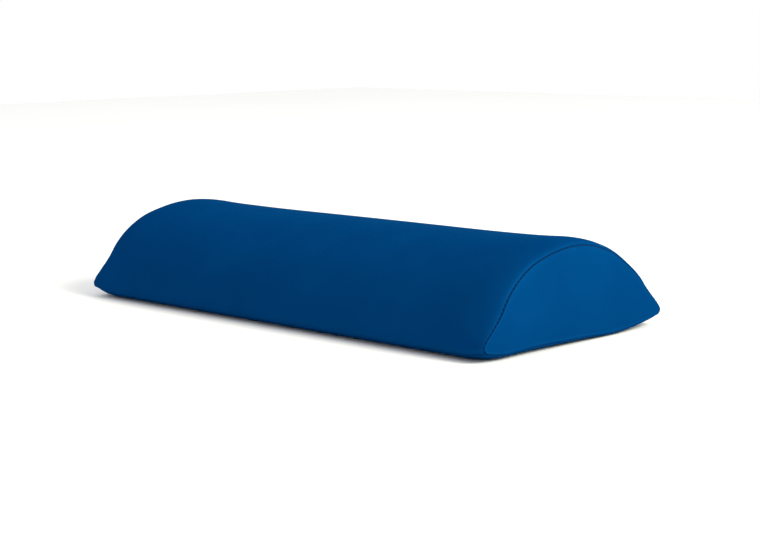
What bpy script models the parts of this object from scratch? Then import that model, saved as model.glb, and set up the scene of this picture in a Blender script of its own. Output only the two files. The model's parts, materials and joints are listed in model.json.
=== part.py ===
"""Half-round lumbar support cushion: a foam core in a sewn leatherette cover with a zip low on the rear flank.

World frame: +X along the cushion, towards its right end; +Y towards the rear flank, which holds the zip;
+Z up. The flat base rests on z = 0 and the origin is the middle of that base.
"""
import math

import bmesh
import bpy
from mathutils import Matrix, Vector

# ---- driving dimensions, in metres ----
LENGTH = 0.410                  # over the two end panels
WIDTH = 0.200                   # between the two long base seams
HEIGHT = 0.071                  # floor to crown
CROWN_RADIUS = 0.230            # large arc over the top
FLANK_LEAN = math.radians(29)   # of the straight flanks, from upright
SEAM_RISE = 0.007               # height of the long base seams above the floor
UNDERCUT = 0.015                # from a long base seam in to the flat of the base

SKIN = 0.0012                   # leatherette thickness
GAP = 0.0003                    # between pieces that touch
SEAM_SLOT = 0.0018              # between panel edges along a sewn seam
SEAM_ALLOWANCE = 0.010          # edge of an end panel turned in under its neighbours
THREAD_RADIUS = 0.0004

TAPE_FOOT_CLEARANCE = 0.0007    # from the zip tape's lower edge to the fold inside the base seam
ZIP_END_MARGIN = 0.034          # from an end of the cushion to the middle of the slider
TAPE_WIDTH = 0.0115
TAPE_THICKNESS = 0.0006
TAPE_TAIL = 0.016               # tape past the middle of the slider at each end of its travel
FLANK_SPARE = 0.008             # straight flank left above the zip tape
CHAIN_GAP = 0.0011              # between the two rows of coil
COIL_WIDTH = 0.0024
COIL_THICKNESS = 0.0022
WINDOW_CLEARANCE = 0.0010       # between the slider and the hemmed edges beside it
TOPSTITCH_INSET = 0.0025        # from a hemmed edge to its stitching

SLIDER_LENGTH = 0.0105
SLIDER_WALL = 0.0008            # side flanges and bottom plate
SLIDER_TOP = 0.0010             # top plate
SLIDER_WEB = 0.0005             # post between the two rows of coil
RUNNING = 0.0003                # clearance round the slider
RELIEF = 0.0005                 # foam held back from the slider and the tape

PULL_LENGTH = 0.0230            # from its pivot to its tip
PULL_THICKNESS = 0.0012
PULL_EYE_WIDTH = 0.0052
PULL_TIP_WIDTH = 0.0068
PULL_RIM = 0.0011               # metal around the grip slot
BAIL_WIDTH = 0.0022
BAIL_WALL = 0.0008
PIVOT_PLAY = 0.0003             # round the pull's bar

STOP_LENGTH = 0.0028
STOP_WRAP = 0.0003              # metal of a stop over the coil

SHOULDER_STEPS = 8
CROWN_STEPS = 18

# ---- worked out from the dimensions above ----
HALF_LENGTH = LENGTH / 2
HALF_WIDTH = WIDTH / 2
LINING = SKIN + GAP             # depth of whatever lies just under one layer of skin
THREAD_DEPTH = SKIN - THREAD_RADIUS
BASE_SEAM_ANGLE = math.pi / 2 - FLANK_LEAN + math.atan2(SEAM_RISE, UNDERCUT)
TAPE_FOOT = (LINING + TAPE_THICKNESS) / math.tan(BASE_SEAM_ANGLE / 2) + TAPE_FOOT_CLEARANCE
ZIP_RISE = TAPE_FOOT + TAPE_WIDTH  # middle of the zip, measured up the flank from the base seam
FLANK_LENGTH = ZIP_RISE + TAPE_WIDTH + FLANK_SPARE
TAPE_TOP = -LINING              # heights in the zip's frame, from the outer face of the flank
TAPE_UNDERSIDE = TAPE_TOP - TAPE_THICKNESS
COIL_BASE = TAPE_TOP + GAP
COIL_TOP = COIL_BASE + COIL_THICKNESS
PLATE_UNDERSIDE = COIL_TOP + RUNNING
PLATE_TOP = PLATE_UNDERSIDE + SLIDER_TOP
SLIDER_HALF_WIDTH = CHAIN_GAP / 2 + COIL_WIDTH + RUNNING + SLIDER_WALL
BOTTOM_PLATE_TOP = TAPE_UNDERSIDE - RUNNING
BOTTOM_PLATE_UNDERSIDE = BOTTOM_PLATE_TOP - SLIDER_WALL
PIVOT_HEIGHT = PLATE_TOP + PIVOT_PLAY + PULL_THICKNESS / 2
WINDOW_HALF_WIDTH = SLIDER_HALF_WIDTH + WINDOW_CLEARANCE
SLIDER_REST_X = HALF_LENGTH - ZIP_END_MARGIN
ZIP_TRAVEL = LENGTH - 2 * ZIP_END_MARGIN
STOP_START = SLIDER_LENGTH / 2 + GAP
WINDOW_END = STOP_START + STOP_LENGTH + WINDOW_CLEARANCE

# ---- looks ----
BLUE = (0.003, 0.085, 0.260, 1.0)
DEEP_BLUE = (0.002, 0.050, 0.165, 1.0)
FOAM_CREAM = (0.820, 0.760, 0.560, 1.0)
ZINC = (0.560, 0.560, 0.550, 1.0)

YZ_PLANE = Matrix(((0, 0, 1, 0), (1, 0, 0, 0), (0, 1, 0, 0), (0, 0, 0, 1)))


def clear_scene():
    for old in list(bpy.data.objects):
        bpy.data.objects.remove(old, do_unlink=True)


def new_collection(name):
    collection = bpy.data.collections.new(name)
    bpy.context.scene.collection.children.link(collection)
    return collection


def material(name, colour, roughness, metallic=0.0):
    made = bpy.data.materials.new(name)
    made.use_nodes = True
    shader = made.node_tree.nodes["Principled BSDF"]
    shader.inputs["Base Color"].default_value = colour
    shader.inputs["Roughness"].default_value = roughness
    shader.inputs["Metallic"].default_value = metallic
    made.diffuse_color = colour
    return made


def leatherette(name):
    return material(name, BLUE, 0.42)


def thread(name):
    return material(name, DEEP_BLUE, 0.65)


def metal(name):
    return material(name, ZINC, 0.32, 1.0)


# ---- the cushion's half-round section, as (y, z) points ----

class Section:
    """Straight leaning flanks, round shoulders and a large crown arc over a base with lifted edges."""

    def __init__(self):
        self.flank_up = Vector((-math.sin(FLANK_LEAN), math.cos(FLANK_LEAN)))
        self.flank_out = Vector((math.cos(FLANK_LEAN), math.sin(FLANK_LEAN)))
        self.under_out = Vector((SEAM_RISE, -UNDERCUT)).normalized()
        self.seam = Vector((HALF_WIDTH, SEAM_RISE))
        self.crown_centre = Vector((0.0, HEIGHT - CROWN_RADIUS))
        shoulder_start = self.seam + FLANK_LENGTH * self.flank_up
        reach = shoulder_start - self.crown_centre
        self.shoulder_radius = ((CROWN_RADIUS ** 2 - reach.length_squared)
                                / (2 * (CROWN_RADIUS - reach.dot(self.flank_out))))
        self.shoulder_centre = shoulder_start - self.shoulder_radius * self.flank_out
        towards = self.shoulder_centre - self.crown_centre
        self.crown_start = math.atan2(towards.y, towards.x)

    def on_flank(self, up, inset=0.0):
        """A point of the rear flank, so far up from the base seam and so deep under the surface."""
        return self.seam + up * self.flank_up - inset * self.flank_out

    def corner(self, inset):
        """Where the flank meets the lifted edge of the base, at a depth under both."""
        shared = self.flank_out.dot(self.under_out)
        share = inset / (1 + shared)
        return self.seam - share * (self.flank_out + self.under_out)

    def base_edge(self, inset):
        """Where the lifted edge meets the flat base, at a depth under both."""
        flat_out = Vector((0.0, -1.0))
        share = inset / (1 + flat_out.dot(self.under_out))
        return Vector((HALF_WIDTH - UNDERCUT, 0.0)) - share * (flat_out + self.under_out)

    def rear_arch(self, inset):
        """From the end of the straight flank up round the shoulder, short of the crown's arc."""
        radius = self.shoulder_radius - inset
        points = []
        for step in range(SHOULDER_STEPS):
            angle = FLANK_LEAN + (self.crown_start - FLANK_LEAN) * step / SHOULDER_STEPS
            points.append(self.shoulder_centre + radius * Vector((math.cos(angle), math.sin(angle))))
        return points

    def crown(self, inset):
        """Over the top, from the rear shoulder to the front one."""
        radius = CROWN_RADIUS - inset
        points = []
        for step in range(CROWN_STEPS + 1):
            angle = self.crown_start + (math.pi - 2 * self.crown_start) * step / CROWN_STEPS
            points.append(self.crown_centre + radius * Vector((math.cos(angle), math.sin(angle))))
        return points

    def arch(self, inset):
        """Shoulder, crown and shoulder, from rear to front."""
        rear = self.rear_arch(inset)
        return rear + self.crown(inset) + mirrored(rear)

    def closed(self, inset):
        """The whole outline at a depth under the surface, anticlockwise seen from the right end."""
        bottom = [self.base_edge(inset), self.corner(inset)]
        return bottom + self.arch(inset) + mirrored(bottom)


def mirrored(points):
    """The same points on the front side, in the order that carries an outline on."""
    return [Vector((-point.x, point.y)) for point in reversed(points)]


SECTION = Section()


# ---- modelling helpers ----

def place(name, data, collection, looks, parent=None, transform=None):
    made = bpy.data.objects.new(name, data)
    collection.objects.link(made)
    if transform is not None:
        made.matrix_world = transform
    if parent is not None:
        made.parent = parent
    if looks is not None:
        data.materials.append(looks)
    return made


def as_mesh(source):
    """A mesh object in place of a curve object, with its caps welded on."""
    bpy.context.view_layer.update()
    evaluated = source.evaluated_get(bpy.context.evaluated_depsgraph_get())
    mesh = bpy.data.meshes.new_from_object(evaluated)
    welded = bmesh.new()
    welded.from_mesh(mesh)
    bmesh.ops.remove_doubles(welded, verts=welded.verts, dist=1e-6)
    bmesh.ops.recalc_face_normals(welded, faces=welded.faces)
    welded.to_mesh(mesh)
    welded.free()
    name, parent = source.name, source.parent
    transform = source.matrix_world.copy()
    collection = source.users_collection[0]
    bpy.data.objects.remove(source, do_unlink=True)
    made = bpy.data.objects.new(name, mesh)
    collection.objects.link(made)
    made.parent = parent
    made.matrix_world = transform
    return made


def plate(name, outlines, depth, collection, looks, parent=None, transform=None):
    """Outlines in the local XY plane, the first with the others as holes, filled and made so thick."""
    curve = bpy.data.curves.new(name, "CURVE")
    curve.dimensions = "2D"
    curve.fill_mode = "BOTH"
    curve.extrude = depth / 2
    for outline in outlines:
        spline = curve.splines.new("POLY")
        spline.points.add(len(outline) - 1)
        spline.use_cyclic_u = True
        for point, (across, up) in zip(spline.points, outline):
            point.co = (across, up, 0.0, 1.0)
    return as_mesh(place(name, curve, collection, looks, parent, transform))


def tube(name, path, collection, looks, closed=False, parent=None):
    """Thread laid along a path of points."""
    curve = bpy.data.curves.new(name, "CURVE")
    curve.dimensions = "3D"
    curve.bevel_depth = THREAD_RADIUS
    curve.bevel_resolution = 2
    curve.use_fill_caps = True
    spline = curve.splines.new("POLY")
    spline.points.add(len(path) - 1)
    spline.use_cyclic_u = closed
    for point, position in zip(spline.points, path):
        point.co = (*position, 1.0)
    return as_mesh(place(name, curve, collection, looks, parent))


def box(name, low, high, collection, looks, parent=None, edge=0.0):
    """A box between two corners, with rounded edges if they have a radius."""
    mesh = bpy.data.meshes.new(name)
    made = place(name, mesh, collection, looks, parent)
    low, high = Vector(low), Vector(high)
    shape = bmesh.new()
    bmesh.ops.create_cube(shape, size=1.0)
    bmesh.ops.scale(shape, vec=high - low, verts=shape.verts)
    bmesh.ops.translate(shape, vec=(low + high) / 2, verts=shape.verts)
    shape.to_mesh(mesh)
    shape.free()
    if edge:
        add_bevel(made, edge)
    return made


def add_bevel(target, radius, segments=2, angle=40):
    bevel = target.modifiers.new("rounded_edges", "BEVEL")
    bevel.width = radius
    bevel.segments = segments
    bevel.limit_method = "ANGLE"
    bevel.angle_limit = math.radians(angle)


def boolean(target, other, operation):
    cut = target.modifiers.new(operation.lower(), "BOOLEAN")
    cut.operation = operation
    cut.solver = "EXACT"
    cut.object = other
    other.hide_render = True
    other.display_type = "WIRE"


def sheet(name, path, half_length, collection, looks):
    """An open surface along an anticlockwise path of (y, z) points, facing away from the cushion's middle."""
    mesh = bpy.data.meshes.new(name)
    made = place(name, mesh, collection, looks)
    shape = bmesh.new()
    ring = [shape.verts.new((half_length, point.x, point.y)) for point in path]
    edges = [shape.edges.new(pair) for pair in zip(ring, ring[1:])]
    swept = bmesh.ops.extrude_edge_only(shape, edges=edges)["geom"]
    moved = [part for part in swept if isinstance(part, bmesh.types.BMVert)]
    bmesh.ops.translate(shape, vec=(-2 * half_length, 0, 0), verts=moved)
    shape.to_mesh(mesh)
    shape.free()
    return made


# ---- the cushion ----

def build_core(parts, cutters, zip_frame):
    """Half-round foam block, stepped at its ends for the end panels' turned edges."""
    looks = material("foam", FOAM_CREAM, 0.9)
    step = SEAM_ALLOWANCE + SKIN + GAP
    core = plate("foam_core", [SECTION.closed(LINING)], LENGTH - 2 * step, parts, looks,
                 transform=YZ_PLANE)
    spigot = plate("core_spigots", [SECTION.closed(2 * LINING)], LENGTH - 2 * LINING, cutters, None,
                   transform=YZ_PLANE)
    boolean(core, spigot, "UNION")
    tape_bed = box("tape_bed",
                   (-TAPE_TAIL - RELIEF, -TAPE_WIDTH - RELIEF, TAPE_UNDERSIDE - RELIEF),
                   (ZIP_TRAVEL + TAPE_TAIL + RELIEF, TAPE_WIDTH + RELIEF, RELIEF),
                   cutters, None, zip_frame)
    slider_bed = box("slider_bed",
                     (-WINDOW_END, -SLIDER_HALF_WIDTH - RELIEF, BOTTOM_PLATE_UNDERSIDE - RELIEF),
                     (ZIP_TRAVEL + WINDOW_END, SLIDER_HALF_WIDTH + RELIEF, RELIEF),
                     cutters, None, zip_frame)
    boolean(core, tape_bed, "DIFFERENCE")
    boolean(core, slider_bed, "DIFFERENCE")
    return core


def build_panels(parts, cutters, zip_frame):
    """The long panels, which meet along the front base seam and, either side of the zip, on the rear flank."""
    half = HALF_LENGTH - SEAM_SLOT
    slot = SEAM_SLOT / 2
    thread_along = (SECTION.corner(THREAD_DEPTH) - SECTION.seam).dot(SECTION.flank_up)
    setback = thread_along + THREAD_RADIUS + GAP
    front_foot = mirrored([SECTION.on_flank(setback)])
    top_path = [SECTION.on_flank(ZIP_RISE + slot)] + SECTION.arch(0.0) + front_foot
    top = sheet("top_panel", top_path, half, parts, leatherette("top_leatherette"))
    under_step = Vector((-UNDERCUT, -SEAM_RISE)).normalized() * setback
    front = mirrored([SECTION.base_edge(0.0), SECTION.seam + under_step])
    rear = [SECTION.base_edge(0.0), SECTION.seam, SECTION.on_flank(ZIP_RISE - slot)]
    base = sheet("base_panel", front + rear, half, parts, leatherette("base_leatherette"))
    window = box("zip_window",
                 (-WINDOW_END, -WINDOW_HALF_WIDTH, -LINING - RELIEF),
                 (ZIP_TRAVEL + WINDOW_END, WINDOW_HALF_WIDTH, LINING),
                 cutters, None, zip_frame)
    for panel in (top, base):
        thicken(panel)
        boolean(panel, window, "DIFFERENCE")


def thicken(panel):
    solid = panel.modifiers.new("leatherette", "SOLIDIFY")
    solid.thickness = SKIN
    solid.offset = -1.0
    solid.use_even_offset = True


def build_end_panel(name, side, parts):
    """A half-round panel whose edge is turned in all round, under the long panels."""
    mesh = bpy.data.meshes.new(name)
    made = place(name, mesh, parts, leatherette(name + "_leatherette"))
    shape = bmesh.new()
    outline = SECTION.closed(LINING)
    rim = [shape.verts.new((side * HALF_LENGTH, point.x, point.y)) for point in outline]
    face = shape.faces.new(rim)
    turned = bmesh.ops.extrude_edge_only(shape, edges=list(face.edges))["geom"]
    moved = [part for part in turned if isinstance(part, bmesh.types.BMVert)]
    bmesh.ops.translate(shape, vec=(-side * SEAM_ALLOWANCE, 0, 0), verts=moved)
    bmesh.ops.recalc_face_normals(shape, faces=shape.faces)
    if face.normal.x * side < 0:
        bmesh.ops.reverse_faces(shape, faces=shape.faces)
    shape.to_mesh(mesh)
    shape.free()
    thicken(made)


def build_seams(parts):
    """Thread in the slots where the panels are sewn together."""
    loop = SECTION.closed(THREAD_DEPTH)
    for name, side in (("left_end_seam_thread", -1), ("right_end_seam_thread", 1)):
        across = side * (HALF_LENGTH - SEAM_SLOT / 2)
        path = [(across, point.x, point.y) for point in loop]
        tube(name, path, parts, thread(name + "_looks"), closed=True)
    reach = HALF_LENGTH - SEAM_SLOT - GAP
    front = mirrored([SECTION.corner(THREAD_DEPTH)])[0]
    tube("front_seam_thread", [(side * reach, front.x, front.y) for side in (-1, 1)], parts,
         thread("front_seam_thread_looks"))
    rear = SECTION.on_flank(ZIP_RISE, THREAD_DEPTH)
    window = SLIDER_REST_X + WINDOW_END + GAP
    for name, side in (("left_rear_seam_thread", -1), ("right_rear_seam_thread", 1)):
        path = [(side * across, rear.x, rear.y) for across in (window, reach)]
        tube(name, path, parts, thread(name + "_looks"))


# ---- the zip, in its own frame: x the way it opens, y up the flank, z out of the flank ----

def add_zip_frame(parts):
    frame = bpy.data.objects.new("zip_frame", None)
    parts.objects.link(frame)
    origin = SECTION.on_flank(ZIP_RISE)
    columns = (Vector((-1, 0, 0)),
               Vector((0, *SECTION.flank_up)),
               Vector((0, *SECTION.flank_out)))
    rotation = Matrix(columns).transposed().to_4x4()
    frame.matrix_world = Matrix.Translation((SLIDER_REST_X, *origin)) @ rotation
    return frame


def build_chain(parts, zip_frame):
    """Two tapes, their rows of coil, and the stops at both ends."""
    inner, outer = CHAIN_GAP / 2, CHAIN_GAP / 2 + COIL_WIDTH
    coil_start, coil_end = -SLIDER_LENGTH / 2, ZIP_TRAVEL + SLIDER_LENGTH / 2
    stop_width = outer + STOP_WRAP
    stop_top = COIL_TOP + STOP_WRAP
    for name, side in (("zip_upper", 1), ("zip_lower", -1)):
        near, far = sorted((side * inner, side * TAPE_WIDTH))
        box(name + "_tape", (-TAPE_TAIL, near, TAPE_UNDERSIDE), (ZIP_TRAVEL + TAPE_TAIL, far, TAPE_TOP),
            parts, material(name + "_tape_looks", DEEP_BLUE, 0.8), zip_frame)
        near, far = sorted((side * inner, side * outer))
        box(name + "_coil", (coil_start, near, COIL_BASE), (coil_end, far, COIL_TOP),
            parts, material(name + "_coil_looks", DEEP_BLUE, 0.45), zip_frame, edge=COIL_THICKNESS / 4)
        near, far = sorted((side * inner, side * stop_width))
        box(name + "_top_stop", (-STOP_START - STOP_LENGTH, near, COIL_BASE), (-STOP_START, far, stop_top),
            parts, metal(name + "_top_stop_looks"), zip_frame, edge=STOP_WRAP)
    box("zip_bottom_stop",
        (ZIP_TRAVEL + STOP_START, -stop_width, COIL_BASE),
        (ZIP_TRAVEL + STOP_START + STOP_LENGTH, stop_width, stop_top),
        parts, metal("zip_bottom_stop_looks"), zip_frame, edge=STOP_WRAP)


def build_zip_stitching(parts, zip_frame):
    """A row of thread through each hemmed edge beside the zip."""
    across = WINDOW_HALF_WIDTH + TOPSTITCH_INSET
    height = GAP + THREAD_RADIUS
    for name, side in (("zip_upper_stitching", 1), ("zip_lower_stitching", -1)):
        path = [(-WINDOW_END, side * across, height), (ZIP_TRAVEL + WINDOW_END, side * across, height)]
        tube(name, path, parts, thread(name + "_looks"), parent=zip_frame)


def slider_outline():
    """The slider's section across the zip: two plates on a thin post, with flanges beside the coils."""
    half_web = SLIDER_WEB / 2
    inner = SLIDER_HALF_WIDTH - SLIDER_WALL
    flange_foot = TAPE_TOP + RUNNING
    right = [(SLIDER_HALF_WIDTH, BOTTOM_PLATE_UNDERSIDE),
             (SLIDER_HALF_WIDTH, BOTTOM_PLATE_TOP),
             (half_web, BOTTOM_PLATE_TOP),
             (half_web, PLATE_UNDERSIDE),
             (inner, PLATE_UNDERSIDE),
             (inner, flange_foot),
             (SLIDER_HALF_WIDTH, flange_foot),
             (SLIDER_HALF_WIDTH, PLATE_TOP)]
    return right + [(-across, up) for across, up in reversed(right)]


def bail_outline():
    """The loop over the slider that holds the pull, seen from the side, open at its foot."""
    inner = PULL_THICKNESS / 2 + 2 * PIVOT_PLAY
    outer = inner + BAIL_WALL
    foot = PLATE_TOP - SLIDER_TOP / 2
    ceiling = PIVOT_HEIGHT + PULL_THICKNESS / 2 + PIVOT_PLAY
    roof = ceiling + BAIL_WALL
    slope = BAIL_WALL / 2
    return [(-outer, foot), (-inner, foot), (-inner, ceiling), (inner, ceiling), (inner, foot),
            (outer, foot), (outer, roof - slope), (outer - slope, roof), (slope - outer, roof),
            (-outer, roof - slope)]


def build_slider(parts, cutters, zip_frame):
    """One casting: plates, post, flanges and the bail over the top."""
    across_plane = Matrix(((0, 0, 1, 0), (1, 0, 0, 0), (0, 1, 0, 0), (0, 0, 0, 1)))
    along_plane = Matrix(((1, 0, 0, 0), (0, 0, -1, 0), (0, 1, 0, 0), (0, 0, 0, 1)))
    slider = plate("zip_slider", [slider_outline()], SLIDER_LENGTH, parts, metal("zip_slider_looks"),
                   transform=across_plane)
    bail = plate("slider_bail", [bail_outline()], BAIL_WIDTH, cutters, None, transform=along_plane)
    boolean(slider, bail, "UNION")
    add_bevel(slider, RUNNING / 2, segments=1, angle=60)
    for piece in (slider, bail):
        piece.matrix_world = zip_frame.matrix_world @ piece.matrix_world
        keep = piece.matrix_world.copy()
        piece.parent = zip_frame
        piece.matrix_world = keep
    return slider


def pull_outlines():
    """The pull in its own plane, from its pivot bar out to its tip, with an eye and a grip slot."""
    half_bar = PULL_THICKNESS / 2
    eye_half = BAIL_WIDTH / 2 + PIVOT_PLAY + RUNNING / 2
    bail_reach = math.hypot(half_bar + 2 * PIVOT_PLAY + BAIL_WALL, half_bar + PIVOT_PLAY + BAIL_WALL)
    eye_end = bail_reach + PIVOT_PLAY
    tip_radius = PULL_TIP_WIDTH / 2
    straight = PULL_LENGTH - tip_radius
    outer = [(-half_bar, -PULL_EYE_WIDTH / 2), (eye_end + PULL_RIM, -PULL_EYE_WIDTH / 2)]
    outer += arc_points(straight, 0.0, tip_radius, -90, 90)
    outer += [(eye_end + PULL_RIM, PULL_EYE_WIDTH / 2), (-half_bar, PULL_EYE_WIDTH / 2)]
    eye = [(half_bar, -eye_half), (eye_end, -eye_half), (eye_end, eye_half), (half_bar, eye_half)]
    slot_radius = tip_radius - PULL_RIM - RUNNING
    slot_start = straight - slot_radius
    slot = arc_points(slot_start, 0.0, slot_radius, 90, 270) + arc_points(straight, 0.0, slot_radius, -90, 90)
    return [outer, eye, slot]


def arc_points(centre_x, centre_y, radius, start, end, steps=8):
    angles = [math.radians(start + (end - start) * step / steps) for step in range(steps + 1)]
    return [(centre_x + radius * math.cos(angle), centre_y + radius * math.sin(angle)) for angle in angles]


def build_pull(parts, zip_frame):
    """The pull lies flat over the closed chain; its origin is on the pivot bar."""
    pull = plate("zip_pull", pull_outlines(), PULL_THICKNESS, parts, metal("zip_pull_looks"))
    pull.parent = zip_frame
    pull.location = (0.0, 0.0, PIVOT_HEIGHT)
    add_bevel(pull, PULL_THICKNESS / 4, segments=2, angle=60)


def main():
    clear_scene()
    parts = new_collection("lumbar_support_cushion")
    cutters = new_collection("cutters")
    zip_frame = add_zip_frame(parts)
    bpy.context.view_layer.update()
    build_core(parts, cutters, zip_frame)
    build_panels(parts, cutters, zip_frame)
    build_end_panel("left_end_panel", -1, parts)
    build_end_panel("right_end_panel", 1, parts)
    build_seams(parts)
    build_chain(parts, zip_frame)
    build_zip_stitching(parts, zip_frame)
    build_slider(parts, cutters, zip_frame)
    build_pull(parts, zip_frame)
    bpy.context.view_layer.update()


main()
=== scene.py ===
"""Looks of the half-round lumbar support cushion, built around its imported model.

Lengths are in metres. +X runs along the cushion to its right end, +Y to the rear flank with the zip, +Z up.
The cover is four leatherette panels over a foam core. Each panel is a grid of points that follows the
filled cushion's form, and its edges roll into the seams.
"""
import json
import math

import bmesh
import bpy
import numpy as np
from mathutils import Matrix, Vector


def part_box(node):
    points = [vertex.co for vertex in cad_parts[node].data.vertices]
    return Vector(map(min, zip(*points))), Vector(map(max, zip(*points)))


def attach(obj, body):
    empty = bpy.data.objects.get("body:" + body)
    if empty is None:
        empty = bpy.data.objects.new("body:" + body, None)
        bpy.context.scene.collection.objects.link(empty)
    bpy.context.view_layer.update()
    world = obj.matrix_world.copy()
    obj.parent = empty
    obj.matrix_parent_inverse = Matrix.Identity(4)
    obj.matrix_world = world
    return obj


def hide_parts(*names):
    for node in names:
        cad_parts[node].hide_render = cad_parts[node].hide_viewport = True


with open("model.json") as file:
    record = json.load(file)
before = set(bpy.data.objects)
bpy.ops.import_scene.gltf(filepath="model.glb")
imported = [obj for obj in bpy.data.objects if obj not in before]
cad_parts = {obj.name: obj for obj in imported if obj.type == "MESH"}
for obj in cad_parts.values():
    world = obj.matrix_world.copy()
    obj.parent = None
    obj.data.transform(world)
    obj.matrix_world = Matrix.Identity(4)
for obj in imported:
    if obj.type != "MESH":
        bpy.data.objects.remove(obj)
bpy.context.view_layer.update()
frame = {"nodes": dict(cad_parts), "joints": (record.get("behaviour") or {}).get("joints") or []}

MM = 0.001

# ---- taken from the frame ----
HALF_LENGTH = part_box("right_end_panel")[1].x
HALF_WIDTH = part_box("base_panel")[1].y
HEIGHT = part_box("top_panel")[1].z
JOINTS = {joint["name"]: joint for joint in frame["joints"]}
FLANK_UP = -Vector(JOINTS["pull_hinge"]["axis"])
FLANK_LEAN = math.atan2(-FLANK_UP.y, FLANK_UP.z)
FLANK_OUT = Vector((0, math.cos(FLANK_LEAN), math.sin(FLANK_LEAN)))
PULL_PIVOT = Vector(JOINTS["pull_hinge"]["pos_m"])
ZIP_TRAVEL = JOINTS["zip_slide"]["range_m"][1]

# ---- the section of the cover, as the frame's panels have it ----
SEAM_RISE = 7 * MM              # height at which the leaning flanks are as wide as the cushion
CROWN_RADIUS = 230 * MM
FLANK_LENGTH = 34 * MM          # straight part of a flank

# ---- how the filled cover differs from that plain section ----
SEAM_X = HALF_LENGTH + 0.5 * MM # end seams, at the foot of the end faces
END_LEAN = 2.1 * MM             # an end face's top leans in this far
SHOULDER = 28 * MM              # the wrap rounds over before an end seam
CORNER_FADE = 34 * MM           # but less and less over this far to a corner
SEAM_INSET = 6.5 * MM           # an end seam lies this deep under the wrap
CROWN_SAG = 4.9 * MM            # of the crown, half way along
FLANK_BULGE = 2.7 * MM
BULGE_HEIGHT = 26 * MM
BULGE_WIDTH = 14 * MM
FRONT_BOW = 0.3 * MM            # of the front base seam, half way along
EDGE_Y = HALF_WIDTH - 4.6 * MM  # base seams, half way along, before the bow
CORNER_TUCK = 1.6 * MM          # the corners are drawn in from that, and from the ends
CORNER_PULL = 1.0 * MM
CORNER_WIDTH = 12 * MM
NOSE = 8.5 * MM                 # the flank's foot rounds under to the base below this
FOOT_RISE = 3.5 * MM            # of the base seams, half way along
CORNER_RISE = 2.8 * MM          # of the corners above that
REAR_CORNER_RISE = 4.4 * MM
END_LIFT = 0.8 * MM             # the right end's lower edge lifts a little in front
END_LIFT_Y = 45 * MM
END_LIFT_WIDTH = 25 * MM
END_DROP = 1.6 * MM             # and drops a little behind
END_DROP_Y = 40 * MM
END_DROP_WIDTH = 28 * MM
CORNER_REACH = 20 * MM
REAR_CORNER_REACH = 46 * MM     # the rear corners rise over a longer stretch of the end
BASE_ROLL = 13 * MM             # the base curves up to its seams over this width
FOOT_SLOPE = 2 * FOOT_RISE / BASE_ROLL
FACE_BULGE = 1.5 * MM           # of an end face
FACE_BULGE_SPAN = 12 * MM
CREST_FLARE = 2.2 * MM          # the crown lifts towards its ends
CREST_WIDTH = 40 * MM
FRONT_DROP = 2.0 * MM           # the shoulders slacken towards their ends
REAR_DROP = 7.0 * MM
SHOULDER_ALONG = 63 * MM
SHOULDER_WIDTH = 36 * MM
CROWN_FROM = 42 * MM            # the sag grows from this height up, over the next length
CROWN_OVER = 26 * MM
BOW_TOP = 40 * MM               # the bow fades out up to this height
BOW_FADE = 30 * MM
ZIP_LEVEL = 13 * MM             # the flank doesn't bulge this close to the zip
ZIP_LEVEL_FADE = 12 * MM
CLOTH_CAP = 3.0 * MM            # furthest that the filling may push a panel out
CLOTH_FRAMES = 20

ROLL = 1.9 * MM                 # width of the fold along a seam
RIDGE = 0.55 * MM               # the fold puffs up by this
ALLOWANCE = 4 * MM              # turned in past the seam
HEM_ALLOWANCE = 0.2 * MM        # and beside the zip
SEAM_FADE = 3.5 * MM            # a seam's puckers and wear reach about this far
LEATHERETTE = 0.9 * MM

# ---- the zip, as the frame has it ----
ZIP_MIDDLE = (PULL_PIVOT - Vector((0, HALF_WIDTH, SEAM_RISE))).dot(FLANK_UP)
WINDOW_HALF_WIDTH = 5.05 * MM
WINDOW_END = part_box("zip_upper_top_stop")[1].x + 1.0 * MM
WINDOW_TAPER = 6 * MM
WINDOW_FROM = 30 * MM           # the wrap draws back from the zip's middle, from this far up
WINDOW_OVER = 24 * MM
WINDOW_BELOW = 8 * MM           # and the strip below it, over this height from the rear foot


def smooth(share):
    """0 to 1 with a soft start and end."""
    share = np.clip(share, 0, 1)
    return share * share * (3 - 2 * share)


def hump(distance, width):
    """1 at no distance, falling away to both sides."""
    return np.exp(-(distance / width) ** 2)


# ---- the form of the filled cushion ----

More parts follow.
